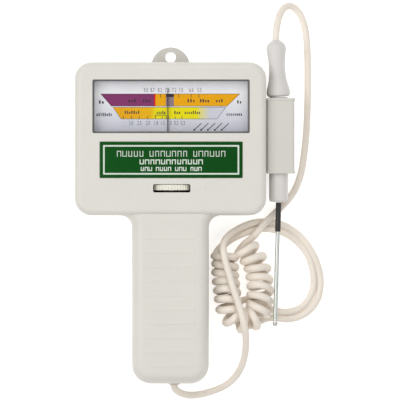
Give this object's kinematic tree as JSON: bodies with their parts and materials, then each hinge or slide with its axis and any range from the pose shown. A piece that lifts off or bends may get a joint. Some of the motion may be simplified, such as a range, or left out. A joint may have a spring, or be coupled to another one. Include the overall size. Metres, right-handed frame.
{
  "type": "water tester",
  "caption": "Hand-held analogue pool water tester: T-shaped case with needle meter and thumbwheel, and a probe on a curly cord held in a side sleeve.",
  "frame": {"origin": "on the flat rear face of the case, under the centre of the head", "axes": "+X to the probe's side, +Y from the handle to the hanging tab, +Z out of the dial; the tester lies on its back"},
  "size_m": [0.1479, 0.2347, 0.0336],
  "materials": {
    "case": "off-white moulded ABS, fine spark texture",
    "screw_steel": "zinc plated",
    "lens": "clear polished acrylic",
    "dial": "pale blue-grey printed card",
    "label": "dark green printed plate with a white border",
    "black_plastic": "satin black",
    "iron": "blackened soft iron",
    "brass": "plain",
    "board": "phenolic laminate",
    "resistor": "tan lacquer with colour bands",
    "trimmer_blue": "blue",
    "lead_red": "PVC",
    "lead_black": "PVC",
    "lead_white": "PVC",
    "grommet": "soft PVC",
    "cord": "beige PVC jacket, satin",
    "copper": "enamelled copper winding",
    "pivot_steel": "polished",
    "wheel": "ivory, knurled",
    "probe_plastic": "pale grey, satin",
    "insulation": "black heat-shrink",
    "rod_steel": "bright drawn wire",
    "tip_metal": "plain"
  },
  "bodies": {
    "housing": {"front_shell": "case", "rear_shell": "case", "probe_holder": "case", "case_screw_1": "screw_steel", "case_screw_2": "screw_steel", "case_screw_3": "screw_steel", "case_screw_4": "screw_steel", "case_screw_5": "screw_steel", "case_screw_6": "screw_steel", "chassis_screw_1": "screw_steel", "chassis_screw_2": "screw_steel", "dial_screw_1": "screw_steel", "dial_screw_2": "screw_steel", "board_screw_1": "screw_steel", "board_screw_2": "screw_steel", "holder_screw_1": "screw_steel", "holder_screw_2": "screw_steel", "window_lens": "lens", "dial_plate": "dial", "label_plate": "label", "meter_chassis": "black_plastic", "selector_bracket": "black_plastic", "cord_clamp": "black_plastic", "yoke_ring": "iron", "core_magnet": "iron", "core_spacer_upper": "brass", "core_spacer_lower": "brass", "upper_bridge": "brass", "upper_jewel_screw": "brass", "lower_jewel_screw": "brass", "upper_hairspring": "brass", "lower_hairspring": "brass", "switch_spring": "brass", "circuit_board": "board", "series_resistor_1": "resistor", "series_resistor_2": "resistor", "trimmer": "trimmer_blue", "meter_lead_red": "lead_red", "signal_wire_red": "lead_red", "meter_lead_black": "lead_black", "signal_wire_white": "lead_white", "cord_grommet": "grommet", "cord_tail": "cord", "cord_handle_lead": "cord", "cord_curl": "cord", "cord_probe_lead": "cord"},
    "pointer": {"pointer": "black_plastic", "moving_coil": "copper", "balance_weight": "brass", "upper_pivot": "pivot_steel", "lower_pivot": "pivot_steel"},
    "selector": {"selector_wheel": "wheel", "selector_axle": "pivot_steel", "selector_cam": "black_plastic"},
    "probe": {"probe_grip": "probe_plastic", "probe_body": "probe_plastic", "insulating_sleeve": "insulation", "electrode_rod": "rod_steel", "electrode_tip": "tip_metal", "cord_probe_arch": "cord"}
  },
  "joints": [
    {"name": "pointer_swing", "type": "hinge", "parent": "housing", "child": "pointer", "pos_m": [-0.0015, -0.0155, 0], "axis": [0, 0, 1], "range_deg": [-38, 38], "stiffness_Nm_per_rad": 0.00002},
    {"name": "selector_turn", "type": "hinge", "parent": "housing", "child": "selector", "pos_m": [0.0008, -0.02885, 0.0216], "axis": [0, 1, 0], "range_deg": [-30, 30]},
    {"name": "probe_slide", "type": "slide", "parent": "housing", "child": "probe", "axis": [0, 1, 0], "range_m": [0, 0.136]}
  ]
}
